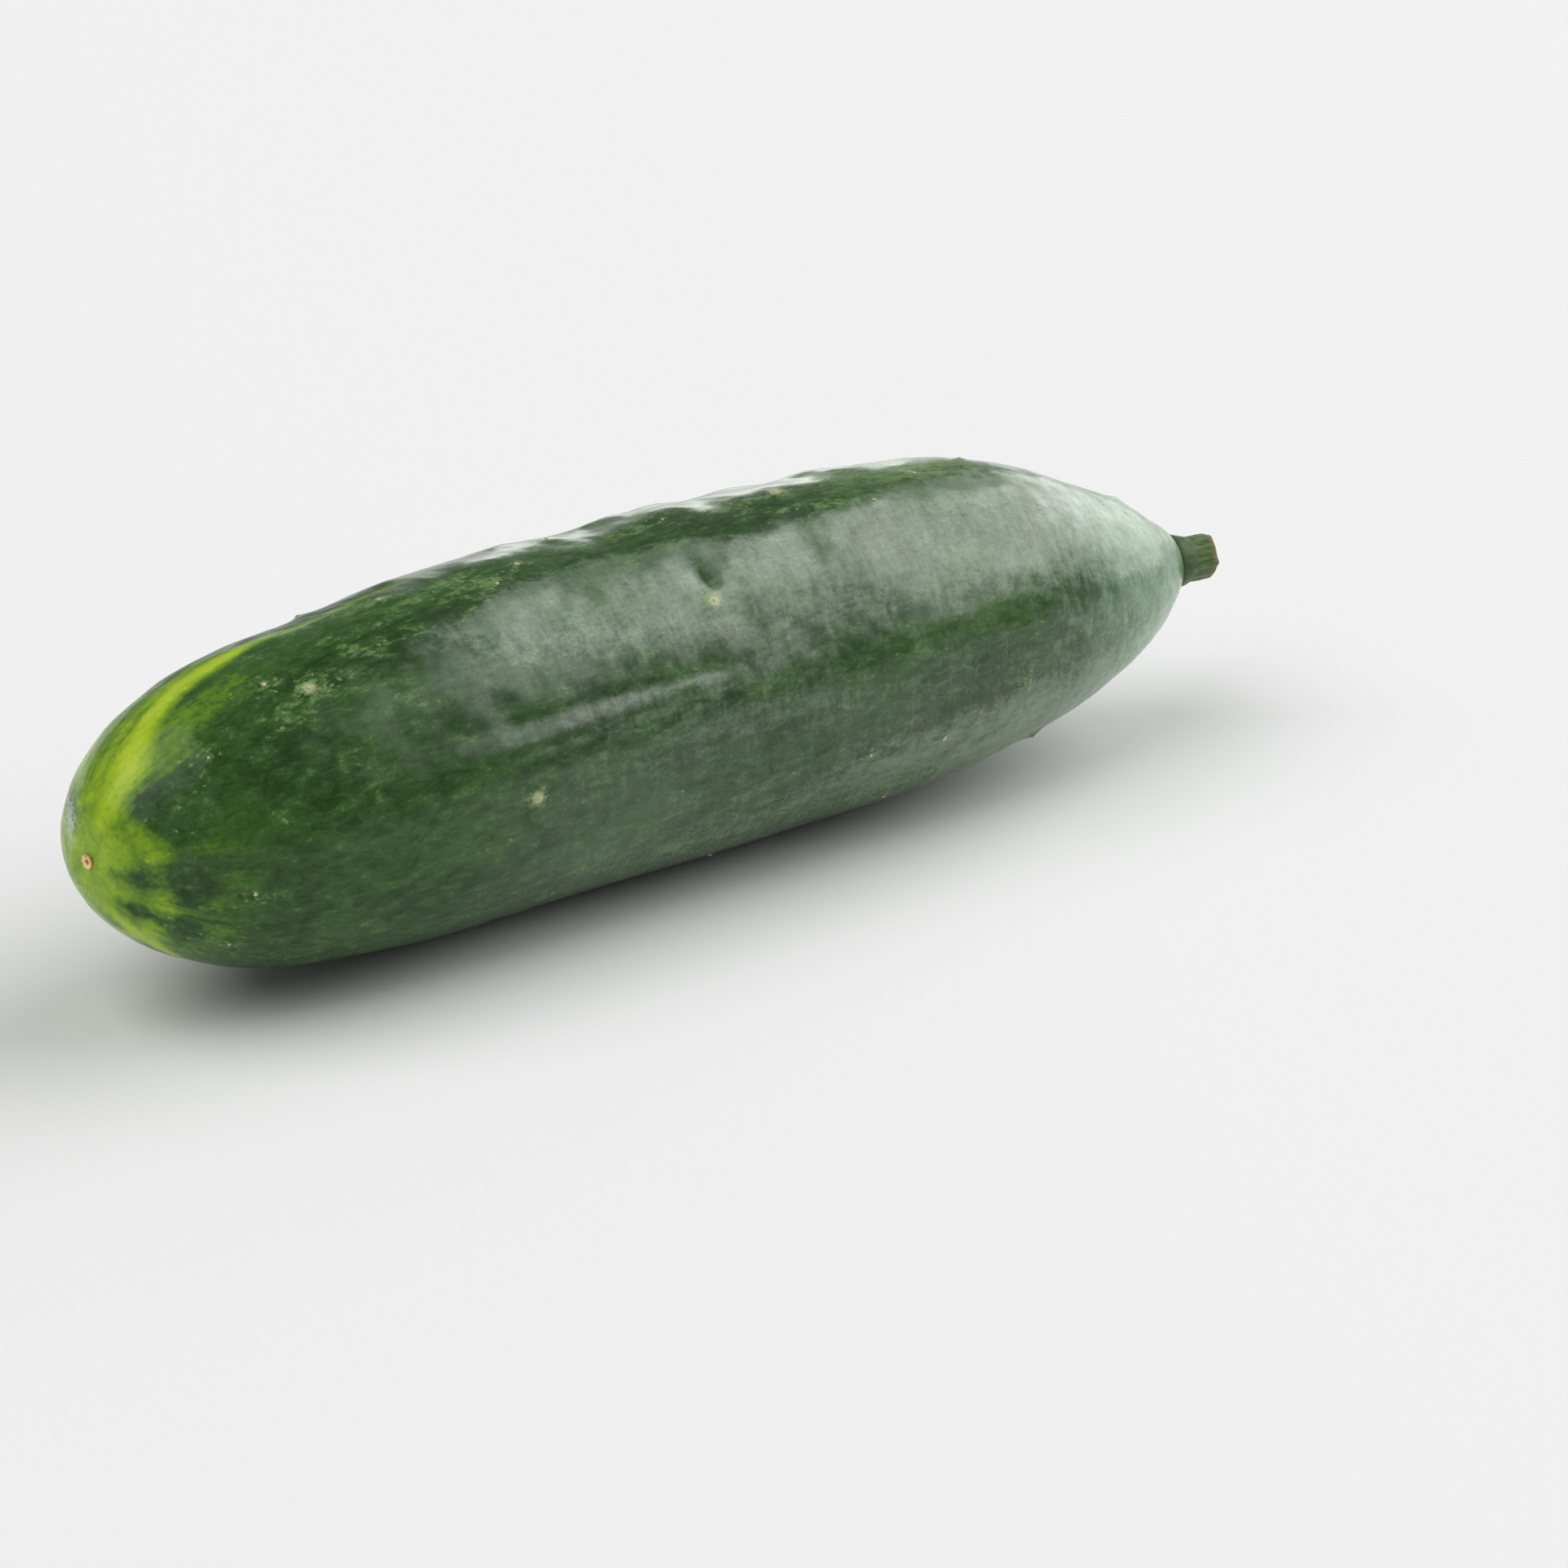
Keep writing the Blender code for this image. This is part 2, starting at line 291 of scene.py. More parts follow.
FLOOR_SIZE, FLOOR_GAP = 30.0, 0.0002
PANEL_DISTANCE = 4.8
# The camera stands off the inner side of the bow, towards the blossom end. Its azimuth is counted from -Y.
CAMERA_AZIMUTH, CAMERA_ELEVATION = math.radians(-36.98), math.radians(23.71)
CAMERA_DISTANCE, CAMERA_TARGET = 0.9197, Vector((0.0165, -0.0127, 0.0107))
CAMERA_SENSOR, CAMERA_LENS = 36.0, 132.9


# ------------------------------------------------------------------------------------------ modelling tools


def deselect_all():
    for obj in bpy.context.scene.objects:
        obj.select_set(False)


def make_active(obj):
    deselect_all()
    obj.select_set(True)
    bpy.context.view_layer.objects.active = obj


def faces_up(centre, normal):
    return normal.z > 0.9


def faces_down(centre, normal):
    return normal.z < -0.9


def on_shaft(centre, normal):
    """On the upright side of the stump, above its flare."""
    return abs(normal.z) < 0.8 and centre.z > FLARE_TOP


def edit(obj):
    """Opens a piece in edit mode with everything selected."""
    make_active(obj)
    bpy.ops.object.mode_set(mode="EDIT")
    bpy.ops.mesh.select_all(action="SELECT")


def edit_faces(obj, wanted):
    """Opens a piece in edit mode with only the faces selected that pass a test of their centre and normal."""
    for part in (obj.data.vertices, obj.data.edges, obj.data.polygons):
        part.foreach_set("select", [False] * len(part))
    for face in obj.data.polygons:
        face.select = wanted(face.center, face.normal)
    make_active(obj)
    bpy.context.tool_settings.mesh_select_mode = (False, False, True)
    bpy.ops.object.mode_set(mode="EDIT")


def leave_edit():
    bpy.ops.object.mode_set(mode="OBJECT")


def inset(*steps):
    """Insets the selected faces by a thickness and then moves them, once for each step."""
    for thickness, move in steps:
        bpy.ops.mesh.inset(thickness=thickness)
        bpy.ops.transform.translate(value=move)


def finish_modifier(obj, kind, **settings):
    """Adds a modifier and applies it."""
    make_active(obj)
    modifier = obj.modifiers.new(kind.lower(), kind)
    for name, value in settings.items():
        setattr(modifier, name, value)
    bpy.ops.object.modifier_apply(modifier=modifier.name)


def subdivide(obj, levels):
    finish_modifier(obj, "SUBSURF", levels=levels, render_levels=levels)


def roughen(obj, name, size, strength, **settings):
    """Moves the surface in and out along its normals, by cloudy noise of a size."""
    texture = bpy.data.textures.new(name, "CLOUDS")
    texture.noise_scale = size
    texture.noise_depth = CLOUD_DETAIL
    settings.update({"texture": texture, "texture_coords": "LOCAL", "direction": "NORMAL"})
    finish_modifier(obj, "DISPLACE", strength=strength, mid_level=0.5, **settings)


def weigh(obj, name, weights):
    """Makes a vertex group of every point whose weight isn't nearly 0."""
    group = obj.vertex_groups.new(name=name)
    for index in np.flatnonzero(weights > LEAST_WEIGHT):
        group.add([int(index)], float(min(weights[index], 1.0)), "REPLACE")
    return group.name


def raise_where(obj, name, weights, height):
    """Raises the surface along its normals, by a height times each point's weight."""
    group = weigh(obj, name, weights)
    settings = {"vertex_group": group, "direction": "NORMAL"}
    finish_modifier(obj, "DISPLACE", strength=height, mid_level=0.0, **settings)


def points_of(mesh):
    points = np.empty(len(mesh.vertices) * 3, np.float32)
    mesh.vertices.foreach_get("co", points)
    return points.reshape(-1, 3).astype(float)


def store(mesh, name, values):
    """Stores a number or a vector for each point of a mesh, for its material to read."""
    kind = "FLOAT" if values.ndim == 1 else "FLOAT_VECTOR"
    key = "value" if values.ndim == 1 else "vector"
    mesh.attributes.new(name, kind, "POINT").data.foreach_set(key, values.astype(np.float32).ravel())


def place_on(obj, point, normal, turn=0.0, size=1.0):
    """Stands a piece on a point with its +Z along a normal, turned about it and scaled."""
    upright = normal.to_track_quat("Z", "Y").to_matrix().to_4x4()
    spin = Matrix.Rotation(turn, 4, "Z")
    obj.matrix_world = Matrix.Translation(point) @ upright @ spin @ Matrix.Scale(size, 4)


def finish_piece(obj, material):
    """Puts a piece's place into its mesh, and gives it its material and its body."""
    make_active(obj)
    bpy.ops.object.transform_apply(location=True, rotation=True, scale=True)
    obj.data.materials.clear()
    obj.data.materials.append(material)
    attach(obj, "root")
    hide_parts("cucumber")


# --------------------------------------------------------------------------------- places on the bowed fruit


def unbent(points):
    """Straightens the fruit. Gives each point's distance from the blossom tip, its distance out of the bow
    and its height over the middle line, in mm."""
    from_centre = points[:, :2] - np.array((MIDDLE.x, MIDDLE.y - BOW_RADIUS))
    along = np.arctan2(from_centre[:, 0], from_centre[:, 1]) * BOW_RADIUS + LENGTH / 2
    out = np.hypot(from_centre[:, 0], from_centre[:, 1]) - BOW_RADIUS
    lift = BLOSSOM_LIFT * np.clip(1 - along / LENGTH / LIFT_REACH, 0, 1) ** 2
    return np.stack((along, out, points[:, 2] - MIDDLE.z - lift), axis=1) * MM


def middle_line(station):
    """A point of the middle line and the directions along it and out of the bow."""
    turn = (station - 0.5) * LENGTH / BOW_RADIUS
    lift = BLOSSOM_LIFT * max(1 - station / LIFT_REACH, 0) ** 2
    along = Vector((math.cos(turn), -math.sin(turn), 0))
    outward = Vector((math.sin(turn), math.cos(turn), 0))
    point = MIDDLE + outward * BOW_RADIUS - Vector((0, BOW_RADIUS, 0)) + Vector((0, 0, lift))
    return point, along, outward


def spoke_at(station, angle):
    """A point of the middle line and the direction from it towards an angle of the skin."""
    point, _, outward = middle_line(station)
    turn = math.radians(angle)
    return point, outward * math.cos(turn) + Vector((0, 0, math.sin(turn)))


def rough_gap(station, angle, other_station, other_angle):
    """About how many mm of skin lie between two places."""
    around = (angle - other_angle + 180) % 360 - 180
    return math.hypot((station - other_station) * ROUGH_LENGTH, around * MM_PER_DEGREE)


def scattered_warts():
    """Stations and angles of all warts: the plain ones, and others outside the plain side, well apart from
    them and from each other."""
    rng = random.Random(WART_SEED)
    warts = list(PLAIN_WARTS)
    first, last = PLAIN_SIDE
    for _ in range(WART_TRIES):
        station, angle = rng.uniform(*WART_STATIONS), rng.uniform(*WART_ANGLES)
        nearest = min(rough_gap(station, angle, *wart) for wart in warts)
        if not first < angle < last and nearest > WART_GAP:
            warts.append((station, angle))
        if len(warts) == WART_COUNT:
            break
    return warts


def mound(straight, station, angle, half_length, half_width):
    """1 at a place on the skin, falling off smoothly over an oval round it."""
    girth = np.hypot(straight[:, 1], straight[:, 2])
    turn = np.arctan2(straight[:, 2], straight[:, 1]) - math.radians(angle)
    around = np.sin(turn / 2) * 2 * girth
    along = straight[:, 0] - station * LENGTH * MM
    return np.exp(-((along / half_length) ** 2) - (around / half_width) ** 2)


def mounds(straight, places):
    """The mounds of many places, each times its height: station, angle, half length, half width, height."""
    return sum(mound(straight, *place) * height for *place, height in places)


def round_tip(straight, reach, strength):
    """Strongest at the blossom tip, falling off smoothly over a reach in mm."""
    return np.exp(-((straight[:, 0] / reach) ** 2)) * strength


def field_along(rows, points, straight):
    """A number for each point of the skin: high along rows of places near the blossom end, else 0."""
    girth = np.hypot(straight[:, 1], straight[:, 2])
    turn = np.arctan2(straight[:, 2], straight[:, 1])
    near_end = np.flatnonzero(straight[:, 0] < STREAK_REACH * LENGTH * MM)

    def on_skin(station, angle):
        around = np.sin((turn[near_end] - math.radians(angle)) / 2) * 2 * girth[near_end]
        gap = np.hypot(straight[near_end, 0] - station * LENGTH * MM, around)
        return points[near_end[gap.argmin()]] * MM

    field = np.zeros(len(points))
    for places in rows:
        row = np.array(places)
        steps = np.linspace(0, len(row) - 1, STREAK_STEPS * (len(row) - 1) + 1)
        station, angle, width, strength = (np.interp(steps, np.arange(len(row)), part) for part in row.T)
        for place, half_width, share in zip(map(on_skin, station, angle), width, strength):
            gap = np.linalg.norm(points[near_end] * MM - place, axis=1)
            bell = share * np.exp(-((gap / half_width) ** 2) * STREAK_FALL)
            field[near_end] = np.maximum(field[near_end], bell)
    return field


def yellow_field(points, straight):
    """How yellow-green each point of the skin is: 0 is plain green, 1 is the yellowest."""
    streaks = np.maximum(field_along(STREAKS, points, straight), round_tip(straight, *TIP_YELLOW))
    blended = (streaks**4 + round_tip(straight, *LIGHT_GREEN) ** 4) ** 0.25
    return blended - field_along(GREEN_LOBES, points, straight)


def wax_and_sheen_field(straight):
    """How thick the wax lies at each point of the skin; the front band is also painted sheen."""
    station = straight[:, 0] / (LENGTH * MM)
    turn = np.degrees(np.arctan2(straight[:, 2], straight[:, 1])) % 360
    field = np.zeros(len(straight))
    for thickness, soft_low, soft_high, places in WAX_AND_SHEEN_BANDS:
        stations, lowest, highest = zip(*places)
        from_low = np.clip((turn - np.interp(station, stations, lowest)) / soft_low + 0.5, 0, 1)
        from_high = np.clip((np.interp(station, stations, highest) - turn) / soft_high + 0.5, 0, 1)
        from_start = np.clip((station - stations[0]) / WAX_START, 0, 1)
        field = np.maximum(field, thickness * from_low * from_high * from_start)
    for *place, share in BARE_AND_SHADED_SPOTS:
        field *= 1 - share * mound(straight, *place)
    return field


# -------------------------------------------------------------------------------------------- shader writing


class Number:
    """A number that changes over a surface. Arithmetic on it adds Math nodes."""

    def __init__(self, shader, socket):
        self.shader, self.socket = shader, socket

    def math(self, operation, *values):
        node = self.shader.node("ShaderNodeMath", {"operation": operation}, dict(enumerate(values)))
        return Number(self.shader, node.outputs[0])

    def __add__(self, other):
        return self.math("ADD", self, other)

    def __sub__(self, other):
        return self.math("SUBTRACT", self, other)

    def __mul__(self, other):
        return self.math("MULTIPLY", self, other)

    def __truediv__(self, other):
        return self.math("DIVIDE", self, other)

    def __pow__(self, other):
        return self.math("POWER", self, other)

    def __radd__(self, other):
        return self.math("ADD", other, self)

    def __rsub__(self, other):
        return self.math("SUBTRACT", other, self)

    def __rmul__(self, other):
        return self.math("MULTIPLY", other, self)

    def __rtruediv__(self, other):
        return self.math("DIVIDE", other, self)

    def __rpow__(self, other):
        return self.math("POWER", other, self)

    def rise(self, low, high):
        """0 below low, 1 above high and smooth between. With high under low it falls instead."""
        node = self.shader.node(
            "ShaderNodeMapRange",
            {"interpolation_type": "SMOOTHSTEP"},
            {"Value": self, "From Min": low, "From Max": high},
        )
        return Number(self.shader, node.outputs["Result"])


class Shader:
    """A Principled material that is written in Python, with what is the same all over it set at the start."""

    def __init__(self, name, constants):
        self.material = bpy.data.materials.new(name)
        self.material.use_nodes = True
        self.tree = self.material.node_tree
        self.surface = self.tree.nodes["Principled BSDF"]
        for socket, value in constants.items():
            self.surface.inputs[socket].default_value = value

    def plug(self, socket, value):
        if isinstance(value, Number):
            value = value.socket
        if isinstance(value, bpy.types.NodeSocket):
            self.tree.links.new(value, socket)
        else:
            socket.default_value = value

    def drive(self, socket, value):
        """Feeds something that changes over the surface to one of the surface's own sockets."""
        self.plug(self.surface.inputs[socket], value)

    def node(self, kind, settings=None, values=None):
        made = self.tree.nodes.new(kind)
        for name, value in (settings or {}).items():
            if name == "stops":
                self.set_stops(made.color_ramp, value)
            else:
                setattr(made, name, value)
        for key, value in (values or {}).items():
            self.plug(made.inputs[key], value)
        return made

    def set_stops(self, ramp, stops):
        while len(ramp.elements) < len(stops):
            ramp.elements.new(1.0)
        for element, (place, colour) in zip(ramp.elements, stops):
            element.position, element.color = place, (*colour, 1.0)

    def stored(self, name):
        """A number that is stored on the mesh."""
        return Number(self, self.node("ShaderNodeAttribute", {"attribute_name": name}).outputs["Fac"])

    def stored_place(self, name):
        """A vector that is stored on the mesh."""
        return self.node("ShaderNodeAttribute", {"attribute_name": name}).outputs["Vector"]

    def object_place(self):
        return self.node("ShaderNodeTexCoord").outputs["Object"]

    def vector(self, x, y, z):
        return self.node("ShaderNodeCombineXYZ", values={0: x, 1: y, 2: z}).outputs[0]

    def parts(self, vector):
        split = self.node("ShaderNodeSeparateXYZ", values={0: vector})
        return [Number(self, socket) for socket in split.outputs]

    def stretched(self, vector, factors):
        """The vector, with each of its parts multiplied by a factor."""
        settings = {"operation": "MULTIPLY"}
        return self.node("ShaderNodeVectorMath", settings, {0: vector, 1: factors}).outputs[0]

    def noise(self, vector, size, detail=2.0, roughness=0.5, distortion=0.0):
        """Cloudy noise from 0 to 1, with blotches of about a size in the vector's units."""
        values = {"Vector": vector, "Scale": 1.0 / size, "Detail": detail}
        values.update({"Roughness": roughness, "Distortion": distortion})
        return Number(self, self.node("ShaderNodeTexNoise", values=values).outputs[0])

    def shifted(self, vector, size, reach):
        """The vector, pushed about by noise, so that a pattern on it gets ragged."""
        values = {"Vector": vector, "Scale": 1.0 / size, "Detail": 3.0}
        push = self.node("ShaderNodeTexNoise", values=values).outputs["Color"]
        settings, values = {"operation": "SUBTRACT"}, {0: push, 1: (0.5, 0.5, 0.5)}
        centred = self.node("ShaderNodeVectorMath", settings, values).outputs[0]
        settings, values = {"operation": "MULTIPLY_ADD"}, {0: centred, 1: (reach * 2,) * 3, 2: vector}
        return self.node("ShaderNodeVectorMath", settings, values).outputs[0]

    def cells(self, vector, size):
        """The distance to the nearest of many scattered points, in shares of their spacing, and a number from
        0 to 1 that each of the points draws."""
        node = self.node("ShaderNodeTexVoronoi", values={"Vector": vector, "Scale": 1.0 / size})
        return Number(self, node.outputs["Distance"]), self.parts(node.outputs["Color"])[0]

    def ramp(self, stops, place):
        """The colour at a place between the stops of a colour ramp."""
        return self.node("ShaderNodeValToRGB", {"stops": stops}, {0: place}).outputs[0]

    def mix(self, share, first, second):
        """A colour between two colours."""
        node = self.node("ShaderNodeMix", {"data_type": "RGBA"})
        self.plug(node.inputs["Factor"], share)
        colours = [socket for socket in node.inputs if socket.type == "RGBA"]
        for socket, colour in zip(colours, (first, second)):
            self.plug(socket, (*colour, 1.0) if isinstance(colour, tuple) else colour)
        return [socket for socket in node.outputs if socket.type == "RGBA"][0]

    def bump(self, height, distance, strength):
        values = {"Height": height, "Distance": distance, "Strength": strength}
        self.drive("Normal", self.node("ShaderNodeBump", values=values).outputs[0])


# ------------------------------------------------------------------------------------------- the skin's looks


class SkinPatterns:
    """The stored numbers and the noises that several parts of the skin's material share. Sizes are in mm."""

    def __init__(self, shader):
        self.straight = shader.stored_place("straight")
        self.along, self.out, self.up = shader.parts(self.straight)
        self.streaks, self.wax_and_sheen = shader.stored("streaks"), shader.stored("wax_bands")
        # The third of these is a painted glint: a silvery reflection put in the colour beside the blossom
        # scar.
        self.halo, self.stars, self.scuffs = (shader.stored(name) for name in ("halo", "stars", "scuffs"))
        self.station = self.along / (LENGTH * MM)
        self.near_tip = self.station.rise(0.20, 0.02)
        self.crown = self.up.rise(12.0, 24.0)

        # Noises, each with its size, detail, roughness and distortion
        self.girth = (self.out * self.out + self.up * self.up) ** 0.5
        self.lengthwise = shader.stretched(self.straight, (0.40, 1.0, 1.0))
        self.patches = shader.noise(self.lengthwise, 15.0, 3.0, 0.55, 0.5)
        self.strokes = shader.noise(self.wrapped(shader, 1.0, 7.0), 1.6, 4.0, 0.65, 0.4)
        self.grain = shader.noise(self.straight, 0.75, 4.0, 0.72, 0.3)
        self.mottle = shader.noise(self.lengthwise, 1.7, 4.0, 0.70, 0.4)
        self.fine = shader.noise(shader.stretched(self.straight, (0.6, 1.0, 1.0)), 0.62, 3.0, 0.65, 0.3)

        # The waxy bloom lies in cloudy patches, thicker in bands along the flanks and towards the stem. The
        # front band is also painted sheen.
        self.cloudy = (
            self.patches.rise(0.30, 0.70) * 0.38
            + self.strokes.rise(0.28, 0.72) * 0.34
            + self.grain.rise(0.38, 0.62) * 0.28
        )
        uneven = (
            (self.strokes - 0.5) * 0.55
            + (self.patches - 0.5) * 0.90
            + (self.mottle - 0.5) * 0.80
            + (self.grain - 0.5) * 0.60
        )
        self.thick_wax_and_sheen = (self.wax_and_sheen + uneven).rise(0.20, 0.86)

    def wrapped(self, shader, lengthwise, across):
        """The place on the skin as on a tube of one radius, so that a pattern closes in on both tips."""
        around = self.out / self.girth * across, self.up / self.girth * across
        return shader.vector(self.along * lengthwise, *around)


def yellow_pattern(shader, skin):
    """Yellow-green streaks with ragged edges, that run in lines from end to end."""
    lines = skin.wrapped(shader, 0.20, 24.0)
    off_tip = skin.station.rise(0.004, 0.030)
    fibres = (shader.noise(lines, 3.2, 3.0, 0.6, 0.7) - 0.5) * off_tip
    threads = (shader.noise(lines, 1.0, 3.0, 0.6, 0.3) - 0.5) * off_tip
    blotches = shader.noise(shader.stretched(skin.straight, (0.6, 1.0, 1.0)), 2.8, 5.0, 0.68, 0.5) - 0.5
    speckle = shader.noise(shader.stretched(skin.straight, (0.7, 1.0, 1.0)), 0.9, 3.0, 0.65, 0.3) - 0.5
    ragged = skin.streaks.rise(0.02, 0.30)
    frayed = fibres * 0.46 + threads * 0.20 + blotches * 0.58 + speckle * 0.30
    return skin.streaks + frayed * ragged + (threads + speckle) * skin.near_tip * 0.12


def fleck_pattern(shader, skin, places):
    """Small pale flecks, most of them round the warts and near the tip, and few where the wax is thick."""
    shaken = shader.shifted(skin.straight, 0.55, 0.45)
    spots, draw = shader.cells(shader.stretched(shaken, (0.6, 1.0, 1.0)), 0.85)
    crowded = draw * 0.80 + skin.halo * 0.5 + places * (0.26 + skin.crown * 0.10) + skin.near_tip * 0.12
    return spots.rise(0.40, 0.16) * crowded.rise(0.84, 1.0) * (1.0 - skin.thick_wax_and_sheen * 0.8)


def green_skin(shader, skin, fleck_places, flecks):
    """The dark green between the streaks, mottled and flecked."""
    clouds = shader.noise(skin.lengthwise, 10.0, 3.0, 0.55)
    shade = (clouds * 0.40 + skin.mottle * 0.60).rise(0.34, 0.68)
    green = shader.mix(shade, DEEP_GREEN, MIDDLE_GREEN)
    mixed = skin.fine * 0.5 + skin.mottle * 0.5 + skin.halo * 0.09
    pale = (mixed + fleck_places * (0.05 + skin.crown * 0.05)).rise(0.55, 0.71)
    green = shader.mix(pale * (0.46 + skin.crown * 0.30 - skin.thick_wax_and_sheen * 0.25), green, PALE_MOTTLE)
    green = shader.mix(skin.fine.rise(0.44, 0.24) * 0.5, green, DARK_SPECK)
    # The back edge of the crown is a lighter green towards the stem
    ridge = skin.station.rise(0.58, 0.76) * skin.up.rise(20.0, 26.0) * skin.out.rise(-7.0, -1.0)
    ridge = ridge * (skin.mottle + skin.fine * 0.5).rise(0.45, 0.85)
    green = shader.mix(ridge * 0.75, green, RIDGE_GREEN)
    return shader.mix(flecks * 0.60, green, FLECK_GREEN)


def wax_and_sheen_over(shader, skin, colour):
    """The colour with the wax: thin bloom, thick bands with painted sheen, and a pale stem end with painted
    highlight.
    """
    bloom = skin.cloudy * skin.station.rise(0.10, 0.40) * (skin.station.rise(0.70, 0.97) * 0.55 + 0.32)
    colour = shader.mix(bloom * 0.12, colour, THIN_WAX)
    # The thick wax is partly painted sheen.
    colour = shader.mix(skin.thick_wax_and_sheen * (0.13 + skin.cloudy * 0.26), colour, THICK_WAX_AND_SHEEN)
    # A painted highlight on the stem end, over its pale bloom.
    stem_end_wax_and_highlight = (skin.station + (skin.strokes - 0.5) * 0.10).rise(0.81, 0.96)
    return shader.mix(stem_end_wax_and_highlight * (0.27 + skin.cloudy * 0.22), colour, STEM_END_WAX_AND_HIGHLIGHT)


def painted_glint_over(shader, skin, colour):
    """The colour with a painted glint on it: a silvery reflection put in the colour, broken up by noise."""
    glint_breakup = shader.noise(shader.stretched(skin.straight, (1.0, 1.0, 0.6)), 0.45, 4.0, 0.7, 0.8) - 0.5
    broken = skin.scuffs * 0.8 + glint_breakup * 2.4 + (skin.grain - 0.5) * 0.8
    glint_share = broken.rise(0.30, 0.85) * skin.scuffs.rise(0.05, 0.45)
    return shader.mix(glint_share * 0.85, colour, PAINTED_GLINT_GREY)


def stars_over(shader, skin, colour):
    """The colour with a cream dot on each plain wart, in a ragged pale star."""
    rays = skin.stars * 0.62 + skin.fine * 0.50 + (skin.grain - 0.5) * 0.60
    rays = rays.rise(0.54, 0.80) * skin.stars.rise(0.08, 0.40)
    colour = shader.mix(rays * 0.55, colour, STAR_RAYS)
    dot = (skin.stars + (skin.fine - 0.5) * 0.30).rise(0.74, 0.94)
    return shader.mix(dot * 0.80, colour, CREAM_DOT)


def skin_material():
    constants = {"IOR": 1.5, "Specular IOR Level": 0.22, "Coat Roughness": 0.22, "Coat IOR": 1.62}
    shader = Shader("waxy_skin", constants)
    skin = SkinPatterns(shader)
    yellow = yellow_pattern(shader, skin)
    fleck_places = shader.noise(skin.lengthwise, 5.0, 3.0, 0.6).rise(0.50, 0.66)
    flecks = fleck_pattern(shader, skin, fleck_places)
    green = green_skin(shader, skin, fleck_places, flecks)
    ripe = shader.ramp(RIPENESS, yellow + flecks * 0.25)
    colour = shader.mix(yellow.rise(0.05, 0.30), green, ripe)
    for layer in (wax_and_sheen_over, painted_glint_over, stars_over):
        colour = layer(shader, skin, colour)
    shader.drive("Base Color", colour)
    waxed = skin.station.rise(0.18, 0.38) * 0.80 + skin.station.rise(0.78, 0.95) * 0.20
    shader.drive("Coat Weight", waxed * (skin.cloudy * 1.1 + skin.wax_and_sheen * 0.22 + 0.08))
    rough = 0.20 + skin.thick_wax_and_sheen * 0.10 + skin.cloudy * 0.10 + (skin.grain - 0.5) * 0.08
    shader.drive("Roughness", rough)
    shader.bump(skin.grain * 0.35 + skin.mottle * 0.65, distance=0.00008, strength=0.6)
    return shader.material


# ------------------------------------------------------------------------------------------ the skin's shape


def bare_skin():
    """The surface of the fruit's own node, in quads, and fine enough for relief."""
    node = frame["nodes"]["cucumber"]
    skin = node.copy()
    skin.data = node.data.copy()
    skin.name = "skin"
    for key in list(skin.keys()):
        del skin[key]
    skin.parent = None
    bpy.context.scene.collection.objects.link(skin)
    edit(skin)
    bpy.ops.mesh.remove_doubles(threshold=WELD_GAP)
    bpy.ops.mesh.tris_convert_to_quads(face_threshold=QUAD_TURN, shape_threshold=QUAD_TURN)
    leave_edit()
    subdivide(skin, SKIN_LEVELS)
    return skin


def store_marks(mesh, points, straight, warts):
    """Stores on the skin what its material reads."""
    halo = sum(mound(straight, *wart, *HALO_SIZE) for wart in warts) + mound(straight, *WIDE_HALO)
    stars = [(*wart, *STAR_SIZE, 1.0 if wart in STARRED_WARTS else FAINT_STAR) for wart in PLAIN_WARTS]
    store(mesh, "straight", straight)
    store(mesh, "halo", halo)
    store(mesh, "stars", mounds(straight, stars))
    store(mesh, "streaks", yellow_field(points, straight))
    # A painted glint beside the blossom scar, and wax bands that also carry painted sheen.
    store(mesh, "scuffs", field_along(PAINTED_GLINT_PLACES, points, straight))
    store(mesh, "wax_bands", wax_and_sheen_field(straight))


def make_skin(material, warts):
    """The fruit with its warts, lumps, dents and fine relief."""
    skin = bare_skin()
    points = points_of(skin.data)
    straight = unbent(points)
    store_marks(skin.data, points, straight, warts)
    free = np.clip((points[:, 2] - REST_HEIGHT) / REST_FADE, 0, 1)
    free *= np.clip((LENGTH * MM - straight[:, 0]) / STEM_FADE, 0, 1)
    bumps = [(*wart, *WART_SIZE, PLAIN_HEIGHT if wart in PLAIN_WARTS else 1.0) for wart in warts]
    raise_where(skin, "warts", mounds(straight, bumps) * free, WART_HEIGHT)
    raise_where(skin, "lumps", mounds(straight, LUMPS) * free, 1 / MM)
    raise_where(skin, "dents", mounds(straight, DENTS) * free, -1 / MM)
    loose = weigh(skin, "free", free)
    for name, size, strength in RELIEF:
        roughen(skin, name, size, strength, vertex_group=loose)
    skin.vertex_groups.clear()
    skin.data.shade_smooth()
    finish_piece(skin, material)
    return skin


# ------------------------------------------------------------------------------------------------ spine tips


def spine_material():
    shader = Shader("dry_spine", {"Roughness": 0.6})
    mottle = shader.noise(shader.object_place(), 0.0006, 3.0)
    shader.drive("Base Color", shader.mix(mottle.rise(0.35, 0.7), SPINE_CREAM, SPINE_TAN))
    return shader.material


def make_spine():
    """One dry spine tip, about 0.9 mm across: a low cone that is bent over and has shrunk at its top."""
    deselect_all()
    bpy.ops.mesh.primitive_cylinder_add(vertices=SPINE_SIDES, radius=SPINE_RADIUS, depth=SPINE_FOOT)
    spine = bpy.context.active_object
    spine.name = "spine"
    edit_faces(spine, faces_up)
    for rise, narrowing in SPINE_STEPS:
        bpy.ops.mesh.extrude_region_move(TRANSFORM_OT_translate={"value": rise})
        bpy.ops.transform.resize(value=(narrowing, narrowing, 1.0))
    leave_edit()
    spine.data.shade_smooth()
    return spine


